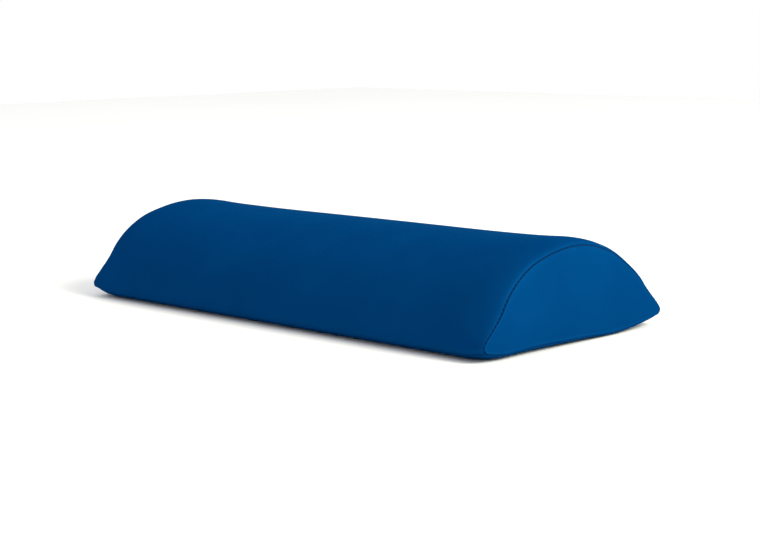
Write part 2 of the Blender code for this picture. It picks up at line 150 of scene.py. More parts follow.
class Arch:
    """Straight leaning flanks, round shoulders and a large crown arc, by arc length from the front foot."""

    def __init__(self):
        self.up = np.array([-math.sin(FLANK_LEAN), math.cos(FLANK_LEAN)])
        self.out = np.array([math.cos(FLANK_LEAN), math.sin(FLANK_LEAN)])
        self.foot = np.array([HALF_WIDTH, SEAM_RISE])
        self.crown_centre = np.array([0, HEIGHT - CROWN_RADIUS])
        shoulder_start = self.foot + FLANK_LENGTH * self.up
        reach = shoulder_start - self.crown_centre
        self.radius = (CROWN_RADIUS ** 2 - reach @ reach) / (2 * (CROWN_RADIUS - reach @ self.out))
        self.centre = shoulder_start - self.radius * self.out
        towards = self.centre - self.crown_centre
        self.crown_start = math.atan2(towards[1], towards[0])
        self.crown_from = FLANK_LENGTH + self.radius * (self.crown_start - FLANK_LEAN)
        self.half = self.crown_from + CROWN_RADIUS * (math.pi / 2 - self.crown_start)

    def __call__(self, along):
        """Points (y, z) and outward normals, at lengths along the arch from its front foot."""
        side = np.where(along < self.half, -1.0, 1.0)
        up = np.where(along < self.half, along, 2 * self.half - along)
        shoulder = FLANK_LEAN + (up - FLANK_LENGTH) / self.radius
        crown = self.crown_start + (up - self.crown_from) / CROWN_RADIUS
        angle = np.where(up < FLANK_LENGTH, FLANK_LEAN, np.where(up < self.crown_from, shoulder, crown))
        normal = np.stack([np.cos(angle), np.sin(angle)], -1)
        on_flank = self.foot + up[..., None] * self.up
        on_shoulder = self.centre + self.radius * normal
        on_crown = self.crown_centre + CROWN_RADIUS * normal
        point = np.where((up < FLANK_LENGTH)[..., None], on_flank,
                         np.where((up < self.crown_from)[..., None], on_shoulder, on_crown))
        mirror = np.stack([side, np.ones_like(side)], -1)
        return point * mirror, normal * mirror


ARCH = Arch()
ARCH_LENGTH = 2 * ARCH.half
ZIP_ALONG = ARCH_LENGTH - ZIP_MIDDLE


def end_turn(x):
    """0 along the middle, rising evenly to 1 over the last stretch before an end seam."""
    return np.clip((np.abs(x) - (SEAM_X - SHOULDER)) / SHOULDER, 0, 1)


ROUND_SHARE = 0.96              # of a quarter circle, so that the cover never stands square to the seam


def rounding(x):
    """How far the cover has rounded over towards an end seam, from 0 to 1."""
    return (1 - np.sqrt(1 - ROUND_SHARE * end_turn(x) ** 2)) / (1 - math.sqrt(1 - ROUND_SHARE))


def drawn_in(x, from_side):
    """x with the corners pulled towards the middle."""
    return np.sign(x) * (np.abs(x) - CORNER_PULL * end_turn(x) ** 2 * hump(from_side, CORNER_WIDTH))


def edge_y(x, side):
    """Where the base's long edges are: the front one bows, and both round off to their corners."""
    bow = FRONT_BOW * (1 - (x / SEAM_X) ** 2) if side < 0 else 0.0
    return side * (EDGE_Y + bow - CORNER_TUCK * rounding(x))


def foot_height(x, y):
    """Height of the base: flat where it rests, curving up to its seams and more to its corners."""
    edge = np.where(y < 0, -edge_y(x, -1), edge_y(x, 1))
    near_end = np.clip((np.abs(x) - (SEAM_X - BASE_ROLL)) / BASE_ROLL, 0, 1) ** 2
    near_side = np.clip((np.abs(y) - (edge - BASE_ROLL)) / BASE_ROLL, 0, 1) ** 2
    reach = np.where(y > 0, REAR_CORNER_REACH, CORNER_REACH)
    rise = np.where(y > 0, REAR_CORNER_RISE, CORNER_RISE)
    corner = rise * smooth((np.abs(x) - (SEAM_X - CORNER_REACH)) / CORNER_REACH)
    corner = corner * np.clip((np.abs(y) - (edge - reach)) / reach, 0, 1) ** 1.5
    wave = END_LIFT * hump(y + END_LIFT_Y, END_LIFT_WIDTH) - END_DROP * hump(y - END_DROP_Y, END_DROP_WIDTH)
    wave = wave * np.where(x > 0, near_end, 0.0) * (1 - near_side)
    return FOOT_RISE * (1 - (1 - near_end) * (1 - near_side)) + corner + wave


def filled_arch(along, x):
    """The arch with its crown sagging and its flanks bulging between the ends, and the ends' own shape."""
    point, normal = ARCH(along)
    at_end = np.clip(np.abs(x) / SEAM_X, 0, 1)
    middle = 1 - at_end ** 5
    off_zip = smooth((np.abs(along - ZIP_ALONG) - ZIP_LEVEL) / ZIP_LEVEL_FADE)
    bulge = FLANK_BULGE * hump(point[..., 1] - BULGE_HEIGHT, BULGE_WIDTH)
    sag = CROWN_SAG * smooth((point[..., 1] - CROWN_FROM) / CROWN_OVER)
    shape = CREST_FLARE * hump(along - ARCH.half, CREST_WIDTH)
    shape = shape - FRONT_DROP * hump(along - SHOULDER_ALONG, SHOULDER_WIDTH)
    shape = shape - REAR_DROP * hump(ARCH_LENGTH - along - SHOULDER_ALONG, SHOULDER_WIDTH)
    shift = (bulge * off_zip - sag) * middle + shape * at_end ** 3
    moved = point + normal * shift[..., None]
    bow = FRONT_BOW * (1 - (x / SEAM_X) ** 2) * smooth((BOW_TOP - point[..., 1]) / BOW_FADE)
    moved[..., 0] -= np.where(along < ARCH.half, bow, 0.0)
    return moved, normal


def section(along, x):
    """The whole wrap's section: the arch, whose two feet round under to the edges of the base."""
    along, x = np.broadcast_arrays(along, x)
    point, normal = filled_arch(along, x)
    for side, start in ((-1, 0.0), (1, ARCH_LENGTH)):
        direction = 1 if side < 0 else -1
        upper, _ = filled_arch(np.full_like(x, start + direction * NOSE), x)
        above, _ = filled_arch(np.full_like(x, start + direction * (NOSE + MM)), x)
        edge = edge_y(x, side)
        foot = np.stack([edge, foot_height(x, edge)], -1)
        fall = (upper - above) / MM
        out = side * fall[..., 0]
        rise = upper[..., 1] - foot[..., 1] - FOOT_SLOPE * side * (upper[..., 0] - foot[..., 0])
        knee = upper + fall * (rise / (FOOT_SLOPE * out - fall[..., 1]))[..., None]
        share = np.clip(np.abs(along - start) / NOSE, 0, 1)[..., None]
        nose = (1 - share) ** 2 * foot + 2 * share * (1 - share) * knee + share ** 2 * upper
        point = np.where(share < 1, nose, point)
    return point, normal


def wrap_form(along, x):
    """Points of the wrap, which rounds over towards the end seams."""
    along, x = np.broadcast_arrays(np.asarray(along, float), np.asarray(x, float))
    point, normal = section(along, x)
    from_foot = np.minimum(along, ARCH_LENGTH - along)
    inset = SEAM_INSET * rounding(x) * smooth(from_foot / CORNER_FADE)
    point = point - normal * inset[..., None]
    height = np.clip((point[..., 1] - SEAM_RISE) / (HEIGHT - SEAM_RISE), 0, 1)
    reach = drawn_in(x, from_foot) - np.sign(x) * END_LEAN * height * end_turn(x) ** 2
    return np.concatenate([reach[..., None], point], -1)


def base_form(x, share):
    """Points of the base: share runs from its front edge to its rear one."""
    x, share = np.broadcast_arrays(np.asarray(x, float), np.asarray(share, float))
    width = edge_y(x, 1) - edge_y(x, -1)
    y = edge_y(x, -1) + width * share
    return np.stack([drawn_in(x, width * np.minimum(share, 1 - share)), y, foot_height(x, y)], -1)


def end_form(along, up, side):
    """Points of an end face, in columns from its bottom edge to the end seam."""
    along, up = np.broadcast_arrays(np.asarray(along, float), np.asarray(up, float))
    top = wrap_form(along, np.full_like(along, side * SEAM_X))
    end = np.full_like(along, side * SEAM_X)
    from_side = np.maximum(0, np.minimum(edge_y(end, 1) - top[..., 1], top[..., 1] - edge_y(end, -1)))
    bottom = np.stack([drawn_in(end, from_side), top[..., 1], foot_height(end, top[..., 1])], -1)
    point = bottom + (top - bottom) * up[..., None]
    span = top[..., 2] - bottom[..., 2]
    point[..., 0] += side * FACE_BULGE * smooth(span * up * (1 - up) / FACE_BULGE_SPAN)
    return point


COLUMN_CREEP = 0.1              # keeps the columns apart where the flanks stand out past the base


def end_shares(along):
    """Where the columns of an end face stand along its bottom edge, in order and never past its corners."""
    y = wrap_form(along, np.full_like(along, SEAM_X))[..., 1]
    share = (y - y[0]) / (y[-1] - y[0])
    creep = COLUMN_CREEP * along / ARCH_LENGTH
    return np.clip(share, creep, 1 - COLUMN_CREEP + creep)


# ---- the filling: the whole cover as one closed cloth, blown up a little between its seams ----

CAGE_ALONG = np.linspace(0, ARCH_LENGTH, 47)
CAGE_X = np.linspace(-SEAM_X, SEAM_X, 65)
CAGE_UP = np.linspace(0, 1, 11)
ZIP_HELD = 15 * MM              # the cloth is held this far out from the zip's middle
RESTING = 0.4 * MM              # and where the base is lower than this


def build_cage():
    """The closed cover, with the number of the vertex at each point of each panel's grid."""
    points = []

    def add(grid):
        start = len(points)
        points.extend(grid.reshape(-1, 3))
        return np.arange(start, start + grid.shape[0] * grid.shape[1]).reshape(grid.shape[:2])

    wrap = add(wrap_form(CAGE_ALONG[:, None], CAGE_X[None, :]))
    shares = end_shares(CAGE_ALONG)
    inner = add(base_form(CAGE_X[None, :], shares[1:-1, None]))
    base = np.vstack([wrap[:1], inner, wrap[-1:]])
    ends = {}
    for side, column in ((-1, 0), (1, -1)):
        face = end_form(CAGE_ALONG[:, None], CAGE_UP[None, :], side)
        numbers = np.zeros(face.shape[:2], int)
        numbers[1:-1, 1:-1] = add(face[1:-1, 1:-1])
        numbers[:, 0] = base[:, column]
        numbers[:, -1] = wrap[:, column]
        numbers[0, :] = wrap[0, column]
        numbers[-1, :] = wrap[-1, column]
        ends[side] = numbers
    return np.array(points), wrap, base, ends


def quads(numbers, flip):
    a, b, c, d = numbers[:-1, :-1], numbers[1:, :-1], numbers[1:, 1:], numbers[:-1, 1:]
    faces = np.stack([a, b, c, d], -1).reshape(-1, 4)
    if flip:
        faces = faces[:, ::-1]
    return [list(dict.fromkeys(face)) for face in faces.tolist()]


def cage_object(points, wrap, base, ends):
    faces = quads(wrap, True) + quads(base, False) + quads(ends[-1], True) + quads(ends[1], False)
    faces = [face for face in faces if len(face) > 2]
    mesh = bpy.data.meshes.new("cage")
    mesh.from_pydata(points.tolist(), [], faces)
    tidy = bmesh.new()
    tidy.from_mesh(mesh)
    bmesh.ops.recalc_face_normals(tidy, faces=tidy.faces)
    tidy.to_mesh(mesh)
    tidy.free()
    mesh.update()
    cage = bpy.data.objects.new("cage", mesh)
    bpy.context.scene.collection.objects.link(cage)
    return cage


def pinned(points, wrap, base):
    """The seams, the flank beside the zip and the flat of the base stay where they are."""
    held = set(wrap[0]) | set(wrap[-1]) | set(wrap[:, 0]) | set(wrap[:, -1])
    held |= set(base[:, 0]) | set(base[:, -1])
    beside_zip = np.abs(CAGE_ALONG - ZIP_ALONG) < ZIP_HELD
    held |= set(wrap[beside_zip].ravel())
    held |= set(base[points[base][..., 2] < RESTING])
    return [int(number) for number in held]


def fill_cover(points, wrap, base, ends):
    """How far each vertex of the cover moves when the cover is filled."""
    cage = cage_object(points, wrap, base, ends)
    group = cage.vertex_groups.new(name="held")
    group.add(pinned(points, wrap, base), 1.0, "REPLACE")
    cloth = cage.modifiers.new("filling", "CLOTH")
    settings = cloth.settings
    settings.quality = 6
    settings.mass = 0.3
    settings.tension_stiffness = 15
    settings.compression_stiffness = 15
    settings.shear_stiffness = 8
    settings.bending_stiffness = 2
    settings.vertex_group_mass = "held"
    settings.use_pressure = True
    settings.uniform_pressure_force = 4
    settings.effector_weights.gravity = 0
    cloth.collision_settings.use_collision = False
    cloth.point_cache.frame_start = 1
    cloth.point_cache.frame_end = CLOTH_FRAMES
    for step in range(1, CLOTH_FRAMES + 1):
        bpy.context.scene.frame_set(step)
    evaluated = cage.evaluated_get(bpy.context.evaluated_depsgraph_get())
    moved = np.array([vertex.co for vertex in evaluated.data.vertices])
    bpy.context.scene.frame_set(1)
    cage.modifiers.clear()
    shift = moved - points
    size = np.linalg.norm(shift, axis=1, keepdims=True) + 1e-12
    return cage, shift * (CLOTH_CAP * np.tanh(size / CLOTH_CAP) / size)


CAGE_POINTS, CAGE_WRAP, CAGE_BASE, CAGE_ENDS = build_cage()
CAGE, CAGE_SHIFT = fill_cover(CAGE_POINTS, CAGE_WRAP, CAGE_BASE, CAGE_ENDS)


def spline_weights(places, knots):
    """Weights that carry values at the knots to the places, by a smooth (Catmull-Rom) curve."""
    spot = np.interp(places, knots, np.arange(len(knots)))
    first = np.clip(np.floor(spot).astype(int), 0, len(knots) - 2)
    t = spot - first
    weights = np.zeros((len(places), len(knots)))
    basis = (-t / 2 + t ** 2 - t ** 3 / 2, 1 - 2.5 * t ** 2 + 1.5 * t ** 3,
             t / 2 + 2 * t ** 2 - 1.5 * t ** 3, -t ** 2 / 2 + t ** 3 / 2)
    rows = np.arange(len(places))
    for offset, weight in zip((-1, 0, 1, 2), basis):
        np.add.at(weights, (rows, np.clip(first + offset, 0, len(knots) - 1)), weight)
    return weights


def wrap_surface(along, x):
    """The filled wrap at matching arrays of places."""
    along, x = np.broadcast_arrays(np.asarray(along, float), np.asarray(x, float))
    field = CAGE_SHIFT[CAGE_WRAP]
    shift = scattered(field, along, CAGE_ALONG, x, CAGE_X)
    return wrap_form(along, x) + shift


def base_surface(x, share):
    x, share = np.broadcast_arrays(np.asarray(x, float), np.asarray(share, float))
    field = CAGE_SHIFT[CAGE_BASE]
    shift = scattered(field, share, end_shares(CAGE_ALONG), x, CAGE_X)
    return base_form(x, share) + shift


def end_surface(along, up, side):
    along, up = np.broadcast_arrays(np.asarray(along, float), np.asarray(up, float))
    field = CAGE_SHIFT[CAGE_ENDS[side]]
    shift = scattered(field, along, CAGE_ALONG, up, CAGE_UP)
    return end_form(along, up, side) + shift


def scattered(field, first, first_knots, second, second_knots):
    """A cage panel's shift, read off smoothly at arrays of places on that panel."""
    shape = first.shape
    by_first = spline_weights(first.ravel(), first_knots)
    by_second = spline_weights(second.ravel(), second_knots)
    values = np.einsum("pi,ijk,pj->pk", by_first, field, by_second, optimize=True)
    return values.reshape(*shape, 3)


# ---- panels: grids with rolled edges ----

GAP_HALF = 0.12 * MM            # between the two allowances of a seam
SEAM_DEPTH = 1.7 * MM
ROLL_TURNS = (0.2, 0.4, 0.6, 0.8, 1.0, 1.5, 2.0)
SLOPE_STEP = 0.2 * MM           # for reading off normals, and how far inside a panel's edge it is done
EDGE_STEP = 0.3 * MM
UPPER_SIGN = -1                 # turns the grids' normals outward
LOWER_SIGN = 1
EDGE_STEPS = (0, 0.6 * MM, 1.4 * MM, 2.6 * MM, 4.2 * MM)


def unit(vectors):
    return vectors / np.maximum(np.linalg.norm(vectors, axis=-1, keepdims=True), 1e-12)


def dot(a, b):
    return (a * b).sum(-1, keepdims=True)


def normals(surface, u, v, sign):
    """Outward normals of surface(u, v), which gives a point at every pair of places."""
    du = surface(u + SLOPE_STEP, v) - surface(u - SLOPE_STEP, v)
    dv = surface(u, v + SLOPE_STEP) - surface(u, v - SLOPE_STEP)
    return unit(np.cross(du, dv)) * sign


def spread(low, high, step, extra=()):
    """Places from low to high, finer towards both ends and round any extra places."""
    inner_low, inner_high = low + EDGE_STEPS[-1], high - EDGE_STEPS[-1]
    count = max(2, round((inner_high - inner_low) / step))
    places = list(np.linspace(inner_low, inner_high, count + 1))
    places += [low + gap for gap in EDGE_STEPS[:-1]] + [high - gap for gap in EDGE_STEPS[:-1]]
    places = [place for place in places if all(abs(place - mid) > reach for mid, reach, _ in extra)]
    for mid, reach, fine in extra:
        places += list(np.linspace(mid - reach, mid + reach, 2 * round(reach / fine) + 1))
    return np.array(sorted(place for place in places if low <= place <= high))


class Seam:
    """Points of a seam, and the way in between the two panels that meet there."""

    def __init__(self, points, own_normals, other_normals):
        self.points = points
        self.inward = -unit(own_normals + other_normals)

    def rolled(self, start, own_normals, turn, allowance):
        """The point that the fold has reached: start is on the panel, turn 1 is at the stitches."""
        across = self.points - start
        across = unit(across - self.inward * dot(across, self.inward))
        corner = self.points + own_normals * RIDGE
        end = self.points + self.inward * SEAM_DEPTH - across * GAP_HALF
        t = min(turn, 1.0)
        point = (1 - t) ** 2 * start + 2 * t * (1 - t) * corner + t ** 2 * end
        return point + self.inward * allowance * max(0.0, turn - 1)


def window_edge(x):
    """Half the width of the opening round the zip. Past the zip's ends it closes to a plain seam."""
    return WINDOW_HALF_WIDTH * smooth((WINDOW_END + WINDOW_TAPER - np.abs(x)) / WINDOW_TAPER)


def flat_normal(x):
    return np.broadcast_to(np.array(FLANK_OUT), (*np.shape(x), 3))


def upper_surface(u, x):
    """The wrap, from the front base seam at 0 to the zip's upper edge at ZIP_ALONG."""
    near_zip = smooth((u - ZIP_ALONG + WINDOW_FROM) / WINDOW_OVER)
    return wrap_surface(u - window_edge(x) * near_zip, x)


BASE_WIDTH = 2 * EDGE_Y
LOWER_WIDTH = BASE_WIDTH + ZIP_MIDDLE


def lower_surface(u, x):
    """The base from its front seam at 0, and on up the rear flank to the zip's lower edge."""
    u, x = np.broadcast_arrays(np.asarray(u, float), np.asarray(x, float))
    up = np.maximum(u - BASE_WIDTH, 0)
    edge = window_edge(x) * smooth(up / WINDOW_BELOW)
    strip = wrap_surface(ARCH_LENGTH - up + edge, x)
    flat = base_surface(x, np.clip(u / BASE_WIDTH, 0, 1))
    return np.where((u > BASE_WIDTH)[..., None], strip, flat)


def end_normal(side, count):
    lean = END_LEAN / (HEIGHT - SEAM_RISE)
    return np.broadcast_to(unit(np.array([side, 0.0, lean])), (count, 3))


def panel_grid(surface, u, v, sign, seams):
    """A panel's points, with its four edges folded in along their seams.

    u and v stop where the folds begin. seams holds, for the low and high edges of u and then of v,
    a function of the places along that edge. It gives the Seam and the allowance there.
    """
    flat = surface(u[:, None], v[None, :])
    edges = (
        (flat[0], normals(surface, np.full_like(v, u[0] + EDGE_STEP), v, sign), seams[0](v)),
        (flat[-1], normals(surface, np.full_like(v, u[-1] - EDGE_STEP), v, sign), seams[1](v)),
        (flat[:, 0], normals(surface, u, np.full_like(u, v[0] + EDGE_STEP), sign), seams[2](u)),
        (flat[:, -1], normals(surface, u, np.full_like(u, v[-1] - EDGE_STEP), sign), seams[3](u)),
    )
    shifts = []
    for start, own, (seam, allowance) in edges:
        shifts.append([seam.rolled(start, own, turn, allowance) - start for turn in ROLL_TURNS])
    turns = len(ROLL_TURNS)
    rows, columns = len(u) + 2 * turns, len(v) + 2 * turns
    at_row = np.clip(np.arange(rows) - turns, 0, len(u) - 1)
    at_column = np.clip(np.arange(columns) - turns, 0, len(v) - 1)
    grid = flat[at_row][:, at_column].copy()
    for number in range(turns):
        grid[turns - 1 - number] += shifts[0][number][at_column]
        grid[turns + len(u) + number] += shifts[1][number][at_column]
        grid[:, turns - 1 - number] += shifts[2][number][at_row]
        grid[:, turns + len(v) + number] += shifts[3][number][at_row]
    fold = np.maximum(folded_share(rows, turns)[:, None], folded_share(columns, turns)[None, :])
    near = np.maximum(nearness(u)[at_row][:, None], nearness(v)[at_column][None, :])
    return grid, fold, near


def folded_share(count, turns):
    """0 on the open panel, rising to 1 where a fold reaches its stitches."""
    share = np.zeros(count)
    for number, turn in enumerate(ROLL_TURNS):
        share[turns - 1 - number] = share[count - turns + number] = min(turn, 1.0)
    return share


def nearness(places):
    """1 at the folds, fading out over a few millimetres."""
    distance = np.minimum(places - places[0], places[-1] - places)
    return np.exp(-distance / SEAM_FADE)


def make_object(name, points, faces, material):
    mesh = bpy.data.meshes.new(name)
    mesh.from_pydata([tuple(point) for point in points], [], faces)
    mesh.validate()
    mesh.update()
    mesh.polygons.foreach_set("use_smooth", [True] * len(mesh.polygons))
    piece = bpy.data.objects.new(name, mesh)
    bpy.context.scene.collection.objects.link(piece)
    mesh.materials.append(material)
    return piece


def thicken(piece, thickness):
    solid = piece.modifiers.new("thickness", "SOLIDIFY")
    solid.thickness = thickness
    solid.offset = -1


def paint(piece, name, values):
    """A value at each vertex, for the material."""
    layer = piece.data.attributes.new(name, "FLOAT", "POINT")
    layer.data.foreach_set("value", np.ravel(values))


def grid_object(name, parts, flip, material):
    grid, fold, near = parts
    numbers = np.arange(grid.shape[0] * grid.shape[1]).reshape(grid.shape[:2])
    piece = make_object(name, grid.reshape(-1, 3), quads(numbers, flip), material)
    paint(piece, "fold", fold)
    paint(piece, "near_seam", near)
    return piece


def end_seam(side, surface, sign):
    """The end seam of the wrap or the base, by places along it."""
    def seam(u):
        edge = surface(u, np.full_like(u, side * SEAM_X))
        own = normals(surface, u, np.full_like(u, side * (SEAM_X - ROLL)), sign)
        return Seam(edge, own, end_normal(side, len(u))), ALLOWANCE
    return seam


def front_normals(x):
    wrap = normals(upper_surface, np.full_like(x, ROLL), x, UPPER_SIGN)
    base = normals(lower_surface, np.full_like(x, ROLL), x, LOWER_SIGN)
    return wrap, base


def front_seam(x):
    wrap, base = front_normals(x)
    return Seam(upper_surface(np.zeros_like(x), x), wrap, base), ALLOWANCE


def zip_hem(surface, u):
    """The hem beside the zip. Past the zip's ends the two hems meet in a plain seam."""
    def seam(x):
        edge = surface(np.full_like(x, u), x)
        closed = 1 - window_edge(x) / WINDOW_HALF_WIDTH
        allowance = (HEM_ALLOWANCE + (ALLOWANCE - HEM_ALLOWANCE) * closed ** 3)[:, None]
        return Seam(edge, flat_normal(x), flat_normal(x)), allowance
    return seam


ZIP_CENTRE = PULL_PIVOT - FLANK_OUT * (PULL_PIVOT - Vector((0, HALF_WIDTH, SEAM_RISE))).dot(FLANK_OUT)


def on_zip(x, up, out):
    """Points at x, up the flank from the zip's middle and out of the flank."""
    centre = np.array([0, ZIP_CENTRE.y, ZIP_CENTRE.z])
    x, up, out = np.broadcast_arrays(x, up, out)
    across = up[..., None] * np.array(FLANK_UP) + out[..., None] * np.array(FLANK_OUT)
    return centre + across + x[..., None] * np.array([1.0, 0, 0])


def zip_extent(node):
    """A zip node's box: x, up the flank, and out of it."""
    points = np.array([vertex.co for vertex in frame["nodes"][node].data.vertices])
    centre = np.array([0, ZIP_CENTRE.y, ZIP_CENTRE.z])
    local = np.stack([points[:, 0], (points - centre) @ np.array(FLANK_UP),
                      (points - centre) @ np.array(FLANK_OUT)], -1)
    return local.min(0), local.max(0)


STITCH_ROW = sum(zip_extent("zip_upper_stitching"))[1] / 2


def make_panels(material):
    x = spread(-SEAM_X + ROLL, SEAM_X - ROLL, 3.4 * MM,
               [(side * (WINDOW_END + WINDOW_TAPER / 2), 6 * MM, 0.8 * MM) for side in (-1, 1)])
    along = spread(ROLL, ZIP_ALONG - ROLL, 3.0 * MM, [(ZIP_ALONG - 2.5 * MM, 0.6 * MM, 0.3 * MM)])
    across = spread(ROLL, LOWER_WIDTH - ROLL, 3.4 * MM, [(BASE_WIDTH + 1 * MM, 8 * MM, 0.8 * MM)])
    pieces = {}
    for node, name, surface, width, rows, sign in (
            ("top_panel", "cover_wrap", upper_surface, ZIP_ALONG, along, UPPER_SIGN),
            ("base_panel", "cover_base", lower_surface, LOWER_WIDTH, across, LOWER_SIGN)):
        ends = [end_seam(side, surface, sign) for side in (-1, 1)]
        grid = panel_grid(surface, rows, x, sign, (front_seam, zip_hem(surface, width), *ends))
        pieces[node] = grid_object(name, grid, sign == UPPER_SIGN, material)
    for side, node in ((-1, "left_end_panel"), (1, "right_end_panel")):
        pieces[node] = end_panel(node.replace("_panel", "_cover"), side, material)
    for piece in pieces.values():
        thicken(piece, LEATHERETTE)
    return pieces


# ---- end panels: rings from the seam to a short level line across the middle ----

RING_COLUMNS = 84
RING_FAN = 20
SPINE_Y = 42 * MM
SPINE_Z = 30 * MM
RING_STEPS = (0, 0.02, 0.05, 0.09, 0.15, 0.23, 0.33, 0.45, 0.58, 0.72, 0.86, 1.0)
FINE_ALONG = np.linspace(0, ARCH_LENGTH, 400)


def on_end(y, z, side):
    """The point of an end face at y and z."""
    edge = wrap_surface(FINE_ALONG, np.full_like(FINE_ALONG, side * SEAM_X))
    order = np.maximum.accumulate(edge[..., 1]) + np.arange(len(FINE_ALONG)) * 1e-9
    along = np.interp(y, order, FINE_ALONG)
    top = np.interp(y, order, edge[..., 2])
    low = foot_height(np.full_like(y, side * SEAM_X), y)
    up = np.clip((z - low) / np.maximum(top - low, 0.5 * MM), 0, 1)
    x = end_surface(along, up, side)[..., 0]
    return np.stack([x, y, z], -1)


def end_panel(name, side, material):
    count = RING_COLUMNS
    along = np.linspace(0, ARCH_LENGTH, count + 1)
    share = np.linspace(0, 1, count + 1)
    spine = np.clip((np.arange(count + 1) - RING_FAN) / (count - 2 * RING_FAN), 0, 1)
    spine = np.stack([SPINE_Y * (2 * spine - 1), np.full(count + 1, SPINE_Z)], -1)
    end = np.full(count + 1, side * SEAM_X)
    inner = np.full(count + 1, side * (SEAM_X - ROLL))
    arch = wrap_surface(along, end)
    arch_normals = normals(wrap_surface, along, inner, UPPER_SIGN)
    foot = base_surface(end, share)
    foot_normals = normals(lower_surface, share * BASE_WIDTH, inner, LOWER_SIGN)
    edge = np.vstack([arch, foot[-2:0:-1]])
    others = np.vstack([arch_normals, foot_normals[-2:0:-1]])
    for corner in (0, count):
        others[corner] = unit(arch_normals[corner] + foot_normals[corner])
    for _ in range(2):
        others = unit(others + 0.5 * (np.roll(others, 1, 0) + np.roll(others, -1, 0)))
    middle = np.vstack([spine, spine[-2:0:-1]])
    own = end_normal(side, len(edge))
    seam = Seam(edge, own, others)
    reach = np.linalg.norm(middle - edge[:, 1:], axis=1)
    rings = []
    for step in RING_STEPS:
        first = ROLL / reach
        k = (first + (1 - first) * step)[:, None]
        flat = edge[:, 1:] * (1 - k) + middle * k
        rings.append(on_end(flat[:, 0], flat[:, 1], side))
    folded = [seam.rolled(rings[0], own, turn, ALLOWANCE) for turn in ROLL_TURNS]
    grid = np.array(folded[::-1] + rings)
    grid = np.concatenate([grid, grid[:, :1]], 1)
    numbers = np.arange(grid.shape[0] * grid.shape[1]).reshape(grid.shape[:2])
    piece = make_object(name, grid.reshape(-1, 3), quads(numbers, side < 0), material)
    fold = [min(turn, 1.0) for turn in ROLL_TURNS[::-1]] + [0.0] * len(rings)
    steps = np.array(RING_STEPS)[:, None] * np.append(reach, reach[0])[None, :]
    near = np.vstack([np.ones((len(folded), len(edge) + 1)), np.exp(-steps / SEAM_FADE)])
    paint(piece, "fold", np.repeat(fold, len(edge) + 1))
    paint(piece, "near_seam", near)
    join = bmesh.new()
    join.from_mesh(piece.data)
    bmesh.ops.remove_doubles(join, verts=join.verts, dist=0.01 * MM)
    join.to_mesh(piece.data)
    join.free()
    return piece


# ---- the foam core, close under the cover ----

CORE_GAP = 3.0 * MM
CORE_CHAMFER = 8.0 * MM         # at the seams, clear of what is turned in there
CORE_CORNER = 6.0 * MM
CORE_CORNER_REACH = 16 * MM
CORE_CLEAR = 5.5 * MM           # the core's ends stay this far inside the end seams


def make_core(material):
    """The filled cage drawn in along its normals, further along the seams and most at the corners."""
    points = CAGE_POINTS + CAGE_SHIFT
    seams = set(CAGE_WRAP[0]) | set(CAGE_WRAP[:, 0]) | set(CAGE_WRAP[:, -1])
    for numbers in CAGE_ENDS.values():
        seams |= set(numbers[:, 0])
    CAGE.data.vertices.foreach_set("co", points.ravel())
    CAGE.data.update()
    directions = np.array([vertex.normal for vertex in CAGE.data.vertices])
    inset = np.full((len(points), 1), CORE_GAP)
    inset[sorted(seams)] = CORE_CHAMFER
    for corner in CAGE_WRAP[[0, 0, -1, -1], [0, -1, 0, -1]]:
        distance = np.linalg.norm(points - points[corner], axis=1)
        inset += (CORE_CORNER * hump(distance, CORE_CORNER_REACH))[:, None]
    inner = points - directions * inset
    inner[:, 0] = np.clip(inner[:, 0], CORE_CLEAR - SEAM_X, SEAM_X - CORE_CLEAR)
    inner[:, 2] = np.maximum(inner[:, 2], CORE_GAP)
    core = make_object("core_foam", inner,
                       [list(polygon.vertices) for polygon in CAGE.data.polygons], material)
    relax = core.modifiers.new("relax", "SMOOTH")
    relax.factor = 0.4
    relax.iterations = 3
    return core


# ---- thread ----

STITCH_PITCH = 3.2 * MM
STITCH_LENGTH = 2.7 * MM
STITCH_DIP = 0.5 * MM           # of a stitch's ends
STITCH_POINTS = 6
TOPSTITCH_LIFT = 0.12 * MM
THREAD_STOP = 2 * MM            # the straight rows end this far from the corners
THREAD = 0.28 * MM
SEAM_THREAD_DEPTH = 1.0 * MM
TUBE_SIDES = 6


def ring_directions(path, up):
    tangent = unit(np.gradient(path, axis=0))
    side = unit(np.cross(tangent, up))
    return side, unit(np.cross(side, tangent))


def tube(path, up, radius, points, faces):
    """Adds a round tube with closed ends along the path to points and faces."""
    side, above = ring_directions(path, up)
    angle = np.arange(TUBE_SIDES) * 2 * math.pi / TUBE_SIDES
    cosine, sine = np.cos(angle)[None, :, None], np.sin(angle)[None, :, None]
    ring = cosine * side[:, None, :] + sine * above[:, None, :]
    start = len(points)
    points.extend((path[:, None, :] + radius * ring).reshape(-1, 3))
    for step in range(len(path) - 1):
        for corner in range(TUBE_SIDES):
            a = start + step * TUBE_SIDES + corner
            b = start + step * TUBE_SIDES + (corner + 1) % TUBE_SIDES
            faces.append([b, a, a + TUBE_SIDES, b + TUBE_SIDES])
    last = start + (len(path) - 1) * TUBE_SIDES
    faces.append([start + corner for corner in range(TUBE_SIDES)])
    faces.append([last + corner for corner in reversed(range(TUBE_SIDES))])


def travelled(path):
    """How far along the path each of its points is."""
    return np.concatenate([[0], np.cumsum(np.linalg.norm(np.diff(path, axis=0), axis=1))])


def read_off(values, lengths, places):
    """Vectors known at some lengths along a path, at other places along it."""
    return np.stack([np.interp(places, lengths, values[:, axis]) for axis in range(3)], -1)


